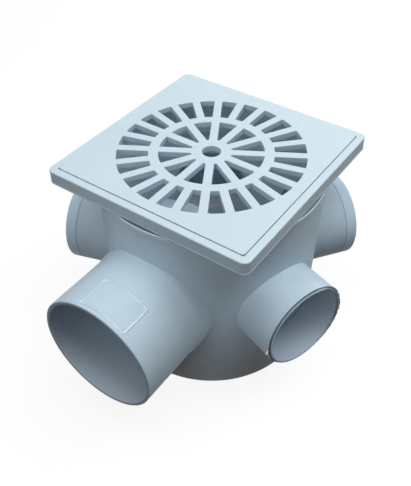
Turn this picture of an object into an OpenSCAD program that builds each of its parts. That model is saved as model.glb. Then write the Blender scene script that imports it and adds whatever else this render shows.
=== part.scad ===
// Floor gully trap in moulded PVC: a round chamber with one outlet and four
// inlets spaced evenly around it, a square cover frame with a lift-out grate,
// and a slide-in hood that makes the water seal. Millimetres, +Z up, origin at
// the centre of the chamber's base. The outlet points along -Y.

/* [Chamber] */
// Height of the body from its base to its rim
body_height = 186; // [150:1:224]
// Outer diameter of the chamber just below its rim
chamber_d = 198.6; // [180:0.2:240]
// How much narrower the chamber is at its base
base_taper = 7.4; // [4:0.2:12]
// Wall of the chamber
chamber_wall = 3.2; // [2.6:0.1:4]
// Thickness of the chamber floor
floor_thickness = 3.2; // [2.6:0.1:5]
// Radius of the outer edge of the base
base_edge_r = 5; // [4:0.5:7]
// How far the rim bead stands out from the wall
rim_bead = 1.1; // [0.6:0.1:2]
// Height of the rim bead
rim_bead_height = 4; // [3:0.5:8]

/* [Outlet] */
// Outer diameter of the outlet spigot
outlet_od = 110; // [90:1:112]
// Wall of the outlet spigot
outlet_wall = 3.2; // [2.6:0.1:4]
// Length of the outlet spigot from the chamber wall
outlet_length = 66.5; // [40:0.5:90]
// Width of the bevel round the outside of the outlet's mouth
mouth_bevel = 0.8; // [0.4:0.1:1.5]
// Width of the bevel round the inside of the outlet's mouth
bore_bevel = 0.5; // [0.2:0.1:1.2]
// How much wider the outlet is at its root, where the pipe's socket stops
root_step = 1.3; // [1.2:0.1:2]
// Distance from the chamber wall to the end of the wider root
root_length = 7; // [4:0.5:12]

/* [Inlets] */
// Bore of an inlet socket
socket_bore = 75.3; // [60:0.1:76]
// Wall of an inlet socket
socket_wall = 2.55; // [2.3:0.05:3.2]
// Width of the stop at the bottom of a socket
stop_width = 1.45; // [1:0.05:4]
// Length of the stop
stop_length = 3.5; // [3:0.5:6]
// Length of an inlet stub from the chamber wall
inlet_length = 33.5; // [24:0.5:60]

/* [Inlet caps] */
// Length of the thinned lip that a cap slides over
cap_lap = 8.5; // [6:0.5:12]
// Wall of a cap's collar
cap_wall = 1.2; // [1:0.1:1.4]
// Thickness of a cap's end
cap_end = 2.6; // [2:0.1:4]
// Radius of the rounded outer edge of a cap
cap_edge_r = 1.6; // [0.8:0.1:1.9]
// Width of the bevel on each side of a cap's seam
seam_bevel = 0.5; // [0.2:0.1:0.8]

/* [Cover frame] */
// How far the body's rim stands out past the middle of each side of the cover
rim_overhang = 2.4; // [0:0.1:4]
// Radius of the cover's corners
cover_corner_r = 6.5; // [4:0.5:12]
// Radius of the corners of the recess that the grate lies in
recess_corner_r = 1.2; // [0.5:0.1:3]
// Width of the bevel round the top of the cover
cover_bevel = 0.8; // [0.3:0.1:1.5]
// How far the lip along the cover's lower edge stands out
lip_reach = 0.5; // [0.2:0.1:1]
// Height of that lip
lip_height = 1.2; // [0.8:0.1:2]
// Height from the body's rim to the top of the cover
cover_rise = 13; // [11.5:0.5:18]
// Gap between the body's rim and the lower edge of the cover
skirt_gap = 1; // [0.5:0.1:2]
// Thickness of the cover's edge below the ledge
skirt_wall = 2.6; // [2:0.1:3.4]
// Width of the border round the grate
border_width = 6.7; // [5:0.1:10]
// Thickness of the ledge under the grate
ledge_thickness = 3; // [2.4:0.1:4]
// How far the ledge reaches in from the neck
ledge_overhang = 6.8; // [5:0.1:10]
// How far the neck reaches into the body
neck_insertion = 29; // [20:1:35]
// Wall of the neck
neck_wall = 2.9; // [2.4:0.1:3.4]
// Width of the shoulder that rests on the body's rim
shoulder_width = 1.7; // [1.2:0.1:2]
// Thickness of the ribs under the cover's corners
rib_thickness = 2; // [1.6:0.1:3]
// Angle between the ribs of one corner
rib_spread = 13; // [10:1:16]

/* [Grate] */
// Radius of the grate's corners
grate_corner_r = 2.5; // [1.5:0.5:6]
// Width of the bevel round the top of the grate
grate_bevel = 0.4; // [0.2:0.1:1]
// Full depth of the grate
grate_depth = 5.4; // [4.4:0.2:8]
// Thickness of the grate's plate and of the ribs under it
plate_thickness = 3.2; // [2.4:0.1:4]
// How far the grate stands above the frame
grate_proud = 0.6; // [0:0.1:1]
// Distance from the edge of the ledge's opening to the outer slots
slot_margin = 4.5; // [3:0.5:8]
// Length of an outer slot
outer_slot_length = 27.2; // [16:0.2:32]
// Width of the ring between the outer and inner slots
slot_ring_width = 8.5; // [6:0.5:12]
// Diameter of the hub
hub_d = 35; // [28:1:44]
// Diameter of the lifting hole
lifting_hole_d = 16.2; // [10:0.2:20]
// Width of a bar
bar_width = 7.2; // [5:0.2:8]
// Number of outer slots
outer_slots = 24; // [12:2:24]
// Number of inner slots
inner_slots = 12; // [6:1:12]

/* [Trap hood] */
// How much wider than the outlet the hood is, on each side
hood_margin = 6; // [5.5:0.5:8]
// Wall of the hood
hood_wall = 2.6; // [2:0.1:3.2]
// Distance from the chamber's outside to the centre of the hood's curve
hood_setback = 17; // [14:0.5:20]
// Height of the hood's top above the outlet's bore
hood_cover = 2.7; // [1:0.1:6]
// Gap between the hood's top and the frame's neck
hood_headroom = 5.4; // [2:0.1:10]
// Height of the hood's lip above the base, for the water to pass
hood_lift = 16; // [12:1:20]
// Thickness of the guide rails that hold the hood
rail_wall = 2.6; // [2:0.1:3.2]
// How far the rails run in past the centre of the hood's curve
rail_reach = 18.5; // [14:0.5:22]
// Height of the stops at the foot of the rails
stop_height = 5; // [4:0.5:8]

/* [Fits] */
// Gap round pieces that drop, push or slide in
drop_fit = 0.3; // [0.2:0.05:0.5]
// Gap between a cap and its stub
cap_fit = 0.1; // [0.05:0.05:0.15]
// Gap round the edge of the grate
grate_gap = 0.6; // [0.4:0.1:1]

/* [Hidden] */
$fn = 96;

body_blue = [0.62, 0.69, 0.74];
cover_blue = [0.80, 0.87, 0.91];
over = 1;                                  // how far a cut runs past a face
arc_steps = 6;                             // flats on a rounded edge

// Ports, counted anticlockwise from the outlet
OUTLET = 0;
OPEN_INLET = 1;
REAR_RIGHT_INLET = 2;
REAR_LEFT_INLET = 3;
LEFT_INLET = 4;
INLETS = [OPEN_INLET, REAR_RIGHT_INLET, REAR_LEFT_INLET, LEFT_INLET];
port_pitch = 360 / (1 + len(INLETS));

// The ports' height follows from what stands above the outlet's bore
neck_bottom = body_height - neck_insertion;
hood_top = neck_bottom - hood_headroom;
outlet_r = outlet_od / 2;
outlet_bore_r = outlet_r - outlet_wall;
port_height = hood_top - hood_wall - hood_cover - outlet_bore_r;

// Chamber
function outer_r(z) = chamber_d / 2 - base_taper / 2 * (1 - z / body_height);
function inner_r(z) = outer_r(z) - chamber_wall;
rim_r = outer_r(body_height) + rim_bead;
port_wall_r = outer_r(port_height);        // chamber's outside at the ports
bore_start = inner_r(0) / 2;               // where the cuts for the ports begin

// Stubs and caps: distances are measured from the chamber's axis
outlet_reach = port_wall_r + outlet_length;
inlet_reach = port_wall_r + inlet_length;
socket_start = port_wall_r - chamber_wall + stop_length;
inlet_r = socket_bore / 2 + socket_wall;
lip_r = inlet_r - cap_wall - cap_fit;
seam_reach = inlet_reach - cap_lap;

// Cover: heights are measured from the base
cover_top = body_height + cover_rise;
cover_side = 2 * (rim_r - rim_overhang);
skirt_bottom = body_height + skirt_gap;
recess_side = cover_side - 2 * border_width;
grate_side = recess_side - 2 * grate_gap;
grate_top = cover_top + grate_proud;
grate_bottom = grate_top - grate_depth;
ledge_top = grate_bottom - drop_fit;
ledge_bottom = ledge_top - ledge_thickness;
shoulder_bottom = body_height + drop_fit;
neck_inner_r = inner_r(neck_bottom) - drop_fit - neck_wall;
shoulder_r = inner_r(shoulder_bottom) - drop_fit + shoulder_width;
ledge_opening_r = neck_inner_r - ledge_overhang;
outer_slot_r = ledge_opening_r - slot_margin;
ring_r = outer_slot_r - outer_slot_length;

// Hood: it slides down in channels between the rails, on to their stops
hood_r = outlet_r + hood_margin;
hood_y = hood_setback - port_wall_r;
rail_front_y = hood_y + rail_reach;
rail_top = hood_top - hood_wall - hood_cover;
rail_stop = hood_lift - drop_fit;

// Points of an arc about a centre, from one angle to another
function arc(x, y, r, from, to) = [
    for (i = [0:arc_steps])
        let (a = from + (to - from) * i / arc_steps)
        [x + r * cos(a), y + r * sin(a)]
];

// Lays children that stand on +Z along the centre line of a port
module at_port(number)
    rotate([0, 0, number * port_pitch])
        translate([0, 0, port_height])
            rotate([90, 0, 0]) children();

// A cone that follows the chamber's inside wall, wider or narrower by a margin
module chamber_inside(from, to, margin)
    translate([0, 0, from])
        cylinder(h = to - from, r1 = inner_r(from) + margin, r2 = inner_r(to) + margin);

module ring(h, outside_r, inside_r)
    difference() {
        cylinder(h = h, r = outside_r);
        translate([0, 0, -over]) cylinder(h = h + 2 * over, r = inside_r);
    }

module at_corners(spacing)
    for (x = [-1, 1], y = [-1, 1])
        translate([x * spacing / 2, y * spacing / 2]) children();

module rounded_square(side, r) {
    square([side - 2 * r, side], center = true);
    square([side, side - 2 * r], center = true);
    at_corners(side - 2 * r) circle(r);
}

// Square slab with rounded corners and a bevel all round its top
module bevelled_slab(side, r, h, bevel) {
    straight = side - 2 * r;
    for (turn = [0, 90])
        rotate([0, 0, turn])
            translate([0, straight / 2, 0])
                rotate([90, 0, 0])
                    linear_extrude(straight)
                        polygon([[-side / 2, 0], [side / 2, 0],
                                 [side / 2, h - bevel], [side / 2 - bevel, h],
                                 [bevel - side / 2, h], [-side / 2, h - bevel]]);
    at_corners(straight) {
        cylinder(h = h - bevel, r = r);
        translate([0, 0, h - bevel]) cylinder(h = bevel, r1 = r, r2 = r - bevel);
    }
}

// Round chamber, solid, with its rounded foot and rim bead
module chamber_outside() {
    foot_r = outer_r(base_edge_r) - base_edge_r;
    bead_bottom = body_height - rim_bead_height;
    rotate_extrude()
        polygon(concat(
            [[0, 0]],
            arc(foot_r, base_edge_r, base_edge_r, -90, 0),
            [[outer_r(bead_bottom - rim_bead), bead_bottom - rim_bead],
             [rim_r, bead_bottom],
             [rim_r, body_height - rim_bead / 2],
             [rim_r - rim_bead / 2, body_height],
             [0, body_height]]));
}

// The space inside the chamber, with a rounded edge to the floor
module chamber_void() {
    edge_r = base_edge_r - chamber_wall / 2;
    edge_top = floor_thickness + edge_r;
    rotate_extrude()
        polygon(concat(
            [[0, floor_thickness]],
            arc(inner_r(edge_top) - edge_r, edge_top, edge_r, -90, 0),
            [[inner_r(body_height + over), body_height + over],
             [0, body_height + over]]));
}

// Spigot with a wider root that tapers down to the size of the pipe
module outlet_spigot() {
    cylinder(h = port_wall_r, r = outlet_r + root_step);
    translate([0, 0, port_wall_r])
        cylinder(h = root_length, r1 = outlet_r + root_step, r2 = outlet_r);
    cylinder(h = outlet_reach - mouth_bevel, r = outlet_r);
    translate([0, 0, outlet_reach - mouth_bevel])
        cylinder(h = mouth_bevel, r1 = outlet_r, r2 = outlet_r - mouth_bevel);
}

module outlet_bore() {
    translate([0, 0, bore_start]) cylinder(h = outlet_reach, r = outlet_bore_r);
    translate([0, 0, outlet_reach - bore_bevel])
        cylinder(h = bore_bevel + over, r1 = outlet_bore_r, r2 = outlet_bore_r + bore_bevel + over);
}

module inlet_stub() {
    cylinder(h = seam_reach - seam_bevel, r = inlet_r);
    translate([0, 0, seam_reach - seam_bevel])
        cylinder(h = seam_bevel, r1 = inlet_r, r2 = inlet_r - seam_bevel);
    cylinder(h = inlet_reach, r = lip_r);
}

module inlet_bore() {
    translate([0, 0, socket_start]) cylinder(h = inlet_reach, d = socket_bore);
    translate([0, 0, bore_start]) cylinder(h = socket_start, d = socket_bore - 2 * stop_width);
}

// Part of a ring round the hood's centre, on the chamber wall beside the outlet
module rail(from, to, outside_r, inside_r)
    intersection() {
        translate([0, hood_y, from]) ring(to - from, outside_r, inside_r);
        chamber_inside(from, to, chamber_wall / 2);
        translate([-chamber_d / 2, rail_front_y - chamber_d, from])
            cube([chamber_d, chamber_d, to - from]);
    }

// Two rails each side, with the hood's edge between them, and a stop below it
module hood_rails() {
    channel_inner_r = hood_r - hood_wall - drop_fit;
    channel_outer_r = hood_r + drop_fit;
    inner_rail_r = channel_inner_r - rail_wall;
    outer_rail_r = channel_outer_r + rail_wall;
    rail(rail_stop - stop_height, rail_top, channel_inner_r, inner_rail_r);
    rail(rail_stop - stop_height, rail_top, outer_rail_r, channel_outer_r);
    rail(rail_stop - stop_height, rail_stop, outer_rail_r, inner_rail_r);
}

module trap_body()
    color(body_blue) {
        difference() {
            union() {
                chamber_outside();
                at_port(OUTLET) outlet_spigot();
                for (number = INLETS) at_port(number) inlet_stub();
            }
            chamber_void();
            at_port(OUTLET) outlet_bore();
            for (number = INLETS) at_port(number) inlet_bore();
        }
        hood_rails();
    }

// Collar that slides over a stub's lip, up to a length from the seam
module cap_collar(length)
    difference() {
        union() {
            cylinder(h = seam_bevel, r1 = inlet_r - seam_bevel, r2 = inlet_r);
            translate([0, 0, seam_bevel]) cylinder(h = length - seam_bevel, r = inlet_r);
        }
        translate([0, 0, -over]) cylinder(h = length + 2 * over, r = inlet_r - cap_wall);
    }

module inlet_cap(number) {
    end_start = cap_lap + cap_fit;
    color(body_blue)
        at_port(number)
            translate([0, 0, seam_reach]) {
                cap_collar(end_start);
                translate([0, 0, end_start])
                    rotate_extrude()
                        polygon(concat(
                            [[0, 0], [inlet_r, 0]],
                            arc(inlet_r - cap_edge_r, cap_end - cap_edge_r, cap_edge_r, 0, 90),
                            [[0, cap_end]]));
            }
}

// What is left of a cap whose end was sawn off, level with the stub's lip
module sawn_cap_ring()
    color(body_blue)
        at_port(OPEN_INLET)
            translate([0, 0, seam_reach]) cap_collar(cap_lap);

// Tapered tube that pushes into the body, with a shoulder on the body's rim
module neck() {
    neck_top = ledge_top - ledge_thickness / 2;
    rotate_extrude()
        polygon([[neck_inner_r, neck_bottom],
                 [neck_inner_r + neck_wall, neck_bottom],
                 [shoulder_r - shoulder_width, shoulder_bottom],
                 [shoulder_r, shoulder_bottom],
                 [shoulder_r, neck_top],
                 [neck_inner_r, neck_top]]);
}

// Ribs that carry one corner of the cover out from the neck
module corner_ribs() {
    rib_height = ledge_bottom - skirt_bottom + over;
    intersection() {
        for (turn = [-rib_spread, 0, rib_spread])
            rotate([0, 0, 45 + turn])
                translate([shoulder_r - over, -rib_thickness / 2, skirt_bottom])
                    cube([cover_side, rib_thickness, rib_height]);
        translate([0, 0, skirt_bottom])
            linear_extrude(rib_height) square(cover_side - skirt_wall, center = true);
    }
}

module cover_frame()
    color(cover_blue) {
        difference() {
            translate([0, 0, skirt_bottom]) {
                bevelled_slab(cover_side, cover_corner_r, cover_top - skirt_bottom, cover_bevel);
                bevelled_slab(cover_side + 2 * lip_reach, cover_corner_r + lip_reach,
                              lip_height, lip_reach / 2);
            }
            translate([0, 0, ledge_top])
                linear_extrude(cover_rise) rounded_square(recess_side, recess_corner_r);
            translate([0, 0, skirt_bottom - over])
                linear_extrude(ledge_bottom - skirt_bottom + over)
                    rounded_square(cover_side - 2 * skirt_wall, cover_corner_r - skirt_wall);
            translate([0, 0, skirt_bottom]) cylinder(h = cover_rise, r = ledge_opening_r);
        }
        neck();
        for (corner = [0:3]) rotate([0, 0, corner * 90]) corner_ribs();
    }

// A ring of slots: a flat ring less the bars that cross it
module slot_ring(outside_r, inside_r, count)
    difference() {
        circle(outside_r);
        circle(inside_r);
        for (i = [0:count - 1])
            rotate(i * 360 / count) translate([0, -bar_width / 2]) square([outside_r + over, bar_width]);
    }

module grate() {
    pocket_depth = grate_depth - plate_thickness;
    color(cover_blue)
        difference() {
            translate([0, 0, grate_bottom])
                bevelled_slab(grate_side, grate_corner_r, grate_depth, grate_bevel);
            translate([0, 0, grate_bottom - over])
                linear_extrude(pocket_depth + over)
                    difference() {
                        square(grate_side - 2 * plate_thickness, center = true);
                        circle(outer_slot_r + plate_thickness);
                    }
            translate([0, 0, grate_bottom - over])
                linear_extrude(grate_depth + 2 * over) {
                    slot_ring(outer_slot_r, ring_r, outer_slots);
                    slot_ring(ring_r - slot_ring_width, hub_d / 2, inner_slots);
                    circle(d = lifting_hole_d);
                }
        }
}

// Half-round hood with a flat top, open below and towards the outlet
module trap_hood()
    color(body_blue)
        intersection() {
            translate([0, hood_y, hood_lift])
                difference() {
                    cylinder(h = hood_top - hood_lift, r = hood_r);
                    translate([0, 0, -over])
                        cylinder(h = hood_top - hood_lift - hood_wall + over, r = hood_r - hood_wall);
                }
            chamber_inside(hood_lift - over, hood_top + over, -drop_fit);
        }

trap_body();
cover_frame();
grate();
trap_hood();
inlet_cap(LEFT_INLET);  // cap_left
inlet_cap(REAR_LEFT_INLET);  // cap_rear_left
inlet_cap(REAR_RIGHT_INLET);  // cap_rear_right
sawn_cap_ring();
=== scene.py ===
"""Floor gully trap in moulded PVC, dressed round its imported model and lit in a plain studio."""

import logging
import math
from collections.abc import Iterable, Sequence
from dataclasses import dataclass, field
from enum import Enum

import bmesh
import bpy
from mathutils import Matrix, Vector, noise


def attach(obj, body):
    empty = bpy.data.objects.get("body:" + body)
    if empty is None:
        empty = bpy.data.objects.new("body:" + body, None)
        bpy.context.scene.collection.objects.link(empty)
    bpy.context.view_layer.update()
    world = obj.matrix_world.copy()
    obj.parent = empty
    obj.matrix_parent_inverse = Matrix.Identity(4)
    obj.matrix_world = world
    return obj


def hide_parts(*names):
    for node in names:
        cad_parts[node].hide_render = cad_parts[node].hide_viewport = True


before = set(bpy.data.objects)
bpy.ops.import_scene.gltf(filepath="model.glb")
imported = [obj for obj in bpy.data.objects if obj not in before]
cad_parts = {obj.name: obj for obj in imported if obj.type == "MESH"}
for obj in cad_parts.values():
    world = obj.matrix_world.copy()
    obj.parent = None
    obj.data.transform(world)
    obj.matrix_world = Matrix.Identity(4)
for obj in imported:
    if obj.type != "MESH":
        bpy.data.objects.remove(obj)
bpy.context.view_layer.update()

LOG = logging.getLogger("gully_trap")
MM = 0.001
BODY = "root"
PORT_PITCH = 72.0
PORT_HEIGHT = 94.5 * MM
OUTLET_R = 55.0 * MM
OUTLET_ROOT_R = 56.3 * MM
STUB_R = 40.2 * MM
SEAM = 122.48 * MM
RIM_R = 99.3 * MM
BODY_TOP = 186.0 * MM
TAPER = 3.7 * MM
COVER_HALF = 98.0 * MM
COVER_TOP = 199.0 * MM
GRATE_TOP = 199.6 * MM

Colour = tuple[float, float, float]
Point = tuple[float, float, float]
Flat = tuple[float, float]


class Port(Enum):
    """The five ports, counted anticlockwise from the outlet."""

    OUTLET = 0
    OPEN_INLET = 1
    REAR_RIGHT = 2
    REAR_LEFT = 3
    LEFT = 4

    @property
    def axis(self) -> Vector:
        """Unit vector out of the chamber along the port."""
        turn = math.radians(self.value * PORT_PITCH)
        return Vector((math.sin(turn), -math.cos(turn), 0.0))

    @property
    def side(self) -> Vector:
        """Unit vector across the port, level with the floor."""
        turn = math.radians(self.value * PORT_PITCH)
        return Vector((math.cos(turn), math.sin(turn), 0.0))

    def around(self, angle: float, profile: Iterable[Flat], start: float = 0.0) -> list[Vector]:
        """Turns a profile about the port's centre line.

        Args:
            angle: angle round the port, from level.
            profile: distance from the centre line and along it, for each point.
            start: where along the port its distances are counted from.

        Returns:
            The points in the part's own frame.
        """
        way = self.side * math.cos(angle) + Vector((0, 0, math.sin(angle)))
        middle = Vector((0, 0, PORT_HEIGHT)) + self.axis * start
        return [middle + way * r + self.axis * out for r, out in profile]


# ---------------------------------------------------------------- shader maths


class Value:
    """An output socket that can be used in Python expressions on numbers."""

    def __init__(self, graph: "Graph", socket: bpy.types.NodeSocket) -> None:
        """Wraps one output.

        Args:
            graph: the node tree that the socket belongs to.
            socket: the output that holds the value.
        """
        self.graph = graph
        self.socket = socket

    def __add__(self, other: "Value | float") -> "Value":
        """Sum."""
        return self.graph.math("ADD", self, other)

    def __radd__(self, other: float) -> "Value":
        """Sum, number first."""
        return self.graph.math("ADD", other, self)

    def __sub__(self, other: "Value | float") -> "Value":
        """Difference."""
        return self.graph.math("SUBTRACT", self, other)

    def __rsub__(self, other: float) -> "Value":
        """Difference, number first."""
        return self.graph.math("SUBTRACT", other, self)

    def __mul__(self, other: "Value | float") -> "Value":
        """Product."""
        return self.graph.math("MULTIPLY", self, other)

    def __rmul__(self, other: float) -> "Value":
        """Product, number first."""
        return self.graph.math("MULTIPLY", other, self)

    def __abs__(self) -> "Value":
        """Size without its sign."""
        return self.graph.math("ABSOLUTE", self)

    def clamped(self) -> "Value":
        """The value kept between 0 and 1."""
        return self.graph.math("MINIMUM", self.graph.math("MAXIMUM", self, 0.0), 1.0)


Input = Value | float | Sequence[float]
Layers = tuple[Value, Value, Value]


class Graph:
    """A node tree with one method that adds any node."""

    def __init__(self, tree: bpy.types.NodeTree) -> None:
        """Empties the tree.

        Args:
            tree: the tree of a material or of the world.
        """
        self.tree = tree
        tree.nodes.clear()

    def node(
        self,
        kind: str,
        settings: dict[str, object] | None = None,
        inputs: dict[str | int, Input] | None = None,
        output: str | int = 0,
    ) -> Value:
        """Adds a node.

        Args:
            kind: the node's type name, without the ShaderNode in front.
            settings: its properties, set before the sockets.
            inputs: values or links for its sockets, by name or by number.
            output: which output to return.

        Returns:
            The chosen output, or the node's first input where it has no output.
        """
        made = self.tree.nodes.new("ShaderNode" + kind)
        for name, value in (settings or {}).items():
            setattr(made, name, value)
        for name, value in (inputs or {}).items():
            socket = made.inputs[name]
            if isinstance(value, Value):
                self.tree.links.new(value.socket, socket)
            elif isinstance(value, (int, float)) or len(value) != 3 or socket.type == "VECTOR":
                socket.default_value = value
            else:
                socket.default_value = (*value, 1.0)
        return Value(self, made.outputs[output] if made.outputs else made.inputs[0])

    def math(self, operation: str, first: Input, second: Input = 0.0) -> Value:
        """A Math node on one or two numbers."""
        return self.node("Math", {"operation": operation}, {0: first, 1: second})

    def vector(self, operation: str, first: Input, second: Input, output: int = 0) -> Value:
        """A Vector Math node on two vectors."""
        return self.node("VectorMath", {"operation": operation}, {0: first, 1: second}, output)

    def part(self, where: Value, index: int) -> Value:
        """One of the three coordinates of a vector."""
        return self.node("SeparateXYZ", None, {0: where}, index)

    def length(self, vector: Value) -> Value:
        """Length of a vector."""
        return self.vector("LENGTH", vector, (0.0, 0.0, 0.0), 1)

    def radius(self, where: Value) -> Value:
        """Distance from the chamber's axis."""
        return self.length(self.vector("MULTIPLY", where, (1.0, 1.0, 0.0)))

    def along(self, where: Value, way: Vector) -> Value:
        """Distance along a direction, from the chamber's axis."""
        return self.vector("DOT_PRODUCT", where, tuple(way), 1)

    def off_axis(self, where: Value, port: Port) -> Value:
        """Distance from a port's centre line."""
        raised = self.vector("SUBTRACT", where, (0.0, 0.0, PORT_HEIGHT))
        return self.length(self.vector("CROSS_PRODUCT", raised, tuple(port.axis)))

    def mix(self, factor: Input, first: Input, second: Input) -> Value:
        """Blends two colours by a factor."""
        return self.node("Mix", {"data_type": "RGBA"}, {0: factor, 6: first, 7: second}, 2)

    def noise(self, where: Value, scale: float, detail: float = 2.0, rough: float = 0.5) -> Value:
        """Soft noise between 0 and 1.

        Args:
            where: position that the noise is read at.
            scale: lumps per metre.
            detail: how many finer layers are added.
            rough: how strong the finer layers are.

        Returns:
            The noise as a number.
        """
        return self.node(
            "TexNoise", None,
            {"Vector": where, "Scale": scale, "Detail": detail, "Roughness": rough}, "Fac",
        )

    def stretched(self, where: Value, scale: Point, detail: float) -> Value:
        """Noise with its own number of lumps per metre in each direction."""
        return self.noise(self.vector("MULTIPLY", where, scale), 1.0, detail)

    def step(self, value: Value, low: float, high: float) -> Value:
        """Smooth rise from 0 at low to 1 at high."""
        return self.node(
            "MapRange", {"interpolation_type": "SMOOTHSTEP"},
            {"Value": value, "From Min": low, "From Max": high},
        )

    def fall(self, value: Value, low: float, high: float) -> Value:
        """Smooth fall from 1 at low to 0 at high."""
        return 1.0 - self.step(value, low, high)


# ---------------------------------------------------------------- finishes


@dataclass(frozen=True)
class MouldedPlastic:
    """Satin moulded PVC with faint flow marks, scuffs and settled dust."""

    name: str
    colour: Colour
    shade: Colour
    roughness: float = 0.40
    mottle: float = 0.55
    scuffs: float = 0.5
    dust: float = 0.25
    grain: float = 0.35
    sheen: float = 0.10

    def material(self) -> bpy.types.Material:
        """Makes the material.

        Returns:
            A new material with its node tree.
        """
        made = bpy.data.materials.new(self.name)
        made.use_nodes = True
        graph = Graph(made.node_tree)
        where = graph.node("TexCoord", output="Object")
        colour, roughness, height = self.layers(graph, where)
        bump = graph.node(
            "Bump", None, {"Strength": self.grain, "Distance": 0.12 * MM, "Height": height}
        )
        shader = graph.node(
            "BsdfPrincipled", None,
            {"Base Color": colour, "Roughness": roughness, "Normal": bump,
             "IOR": 1.5, "Specular IOR Level": self.sheen},
        )
        graph.node("OutputMaterial", None, {"Surface": shader})
        return made

    def layers(self, graph: Graph, where: Value) -> Layers:
        """Builds what varies over the surface.

        Args:
            graph: the material's tree.
            where: position on the part, in metres.

        Returns:
            Base colour, roughness and bump height.
        """
        cloud = graph.noise(where, 17.0, 3.0, 0.55)
        blotch = graph.noise(where, 95.0, 2.0, 0.5)
        pebble = graph.noise(where, 850.0, 2.0, 0.6)
        flow = graph.stretched(where, (260.0, 260.0, 18.0), 1.0)
        mask = graph.step(cloud, 0.30, 0.72) * 0.65 + graph.step(blotch, 0.35, 0.75) * 0.35
        colour = graph.mix(mask * self.mottle, self.colour, self.shade)
        scuff = self.scuff_mask(graph, where)
        pale = tuple(min(1.0, c * 1.10 + 0.02) for c in self.colour)
        colour = graph.mix(scuff * self.scuffs * 0.5, colour, pale)
        facing = graph.node("NewGeometry", output="Normal")
        up = graph.step(graph.part(facing, 2), 0.55, 1.0)
        settled = up * graph.step(graph.noise(where, 42.0, 5.0, 0.62), 0.42, 0.78)
        colour = graph.mix(settled * self.dust * 0.5, colour, (0.72, 0.74, 0.73))
        roughness = self.roughness + mask * 0.06 + scuff * 0.14 + settled * (self.dust * 0.5)
        height = pebble * 0.5 + blotch * 0.8 + flow * 0.35 - scuff * 0.25
        return colour, roughness.clamped(), height

    def scuff_mask(self, graph: Graph, where: Value) -> Value:
        """Thin broken scuff marks in two directions.

        Args:
            graph: the material's tree.
            where: position on the part, in metres.

        Returns:
            A mask that is 1 on a mark.
        """
        mask: Value | float = 0.0
        for turn, scale in ((0.6, (34.0, 900.0, 60.0)), (-0.9, (700.0, 28.0, 90.0))):
            turned = graph.node(
                "VectorRotate", {"rotation_type": "Z_AXIS"}, {"Vector": where, "Angle": turn}
            )
            lines = graph.stretched(turned, scale, 2.0)
            patch = graph.step(graph.noise(turned, 26.0, 2.0), 0.52, 0.70)
            mask = graph.step(lines, 0.66, 0.74) * patch + mask
        return mask.clamped()


@dataclass(frozen=True)
class BodyPlastic(MouldedPlastic):
    """Plastic of the body, with painted light and shade inside and in its bores, painted shade
    and a painted highlight at its rim and outlet end, and painted shade towards the bottom.
    """

    # Painted light: the inside of the chamber, paler than the outside so that it reads lit.
    inside: Colour = (0.770, 0.868, 0.955)
    # Painted shade: the outlet's bore, a little darker than the outside.
    bore: Colour = (0.545, 0.655, 0.750)
    # Painted shade: the open inlet's bore, darker still.
    socket: Colour = (0.480, 0.575, 0.675)
    # Painted light: the bores of the capped stubs, seen through the grate, made pale.
    deep_painted_light: Colour = (0.840, 0.920, 1.000)
    # Painted shade, laid on the outlet's end face and on the rim's top in the gap under the
    # skirt.
    dark: Colour = (0.13, 0.17, 0.21)
    # Painted highlight along the rim's outer edge.
    painted_highlight: Colour = (0.70, 0.87, 1.0)
    # Painted shade and a warm painted reflection, darker and browner towards the bottom.
    grime_and_shade: Colour = (0.38, 0.35, 0.33)
    outlet_bore_r: float = 51.8 * MM
    outlet_end: float = 163.98 * MM
    socket_r: float = 37.65 * MM

    def layers(self, graph: Graph, where: Value) -> Layers:
        """Adds painted light and shade inside and in the bores, painted shade and a painted
        highlight at the rim and the outlet's end, and painted shade towards the bottom, to the
        plain plastic.
        """
        colour, roughness, height = super().layers(graph, where)
        radius, z = graph.radius(where), graph.part(where, 2)
        wall = z * (TAPER / BODY_TOP) + (RIM_R - TAPER)
        # Painted light over the inside of the chamber.
        inner = graph.fall(radius - wall, -2.2 * MM, -1.2 * MM)
        colour = graph.mix(inner * 0.95, colour, self.inside)
        hollow = inner
        for port in Port:
            bore_r = self.outlet_bore_r if port is Port.OUTLET else self.socket_r
            off = graph.off_axis(where, port)
            bore = graph.fall(off, bore_r + 0.6 * MM, bore_r + 1.1 * MM)
            bore = bore * graph.step(graph.along(where, port.axis), 88.0 * MM, 98.0 * MM)
            # Painted shade down the outlet's and open inlet's bores, painted light down the
            # capped ones.
            shown = {Port.OUTLET: self.bore, Port.OPEN_INLET: self.socket}.get(port, self.deep_painted_light)
            colour = graph.mix(bore * 0.95, colour, shown)
            hollow = hollow + bore
        out = graph.along(where, Port.OUTLET.axis)
        # Painted shade on the outlet's end face.
        mouth_shade = graph.step(out, self.outlet_end - 0.5 * MM, self.outlet_end - 0.1 * MM)
        rim = graph.step(z, BODY_TOP - 1.4 * MM, BODY_TOP - 1.0 * MM)
        edge = graph.step(radius, RIM_R + 0.3 * MM, RIM_R + 0.7 * MM)
        # Painted shade and warm reflection in noisy patches, fading out from the floor up to 75
        # mm.
        foot_shade = graph.fall(z, 0.0, 75.0 * MM) * graph.noise(where, 60.0, 3.0, 0.6)
        # Painted highlight on the rim's outer edge.
        colour = graph.mix(rim * edge * 0.85, colour, self.painted_highlight)
        # Painted shade on the outlet's end face and on the rim's top in the gap under the skirt.
        painted_shade_mask = mouth_shade * 0.75 + rim * (1.0 - edge) * 0.9
        colour = graph.mix(painted_shade_mask.clamped(), colour, self.dark)
        # Painted shade and warm reflection towards the bottom, kept out of the bores.
        painted_shade_mask = foot_shade * (1.0 - hollow.clamped()) * 1.1
        return graph.mix(painted_shade_mask.clamped(), colour, self.grime_and_shade), roughness, height


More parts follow.
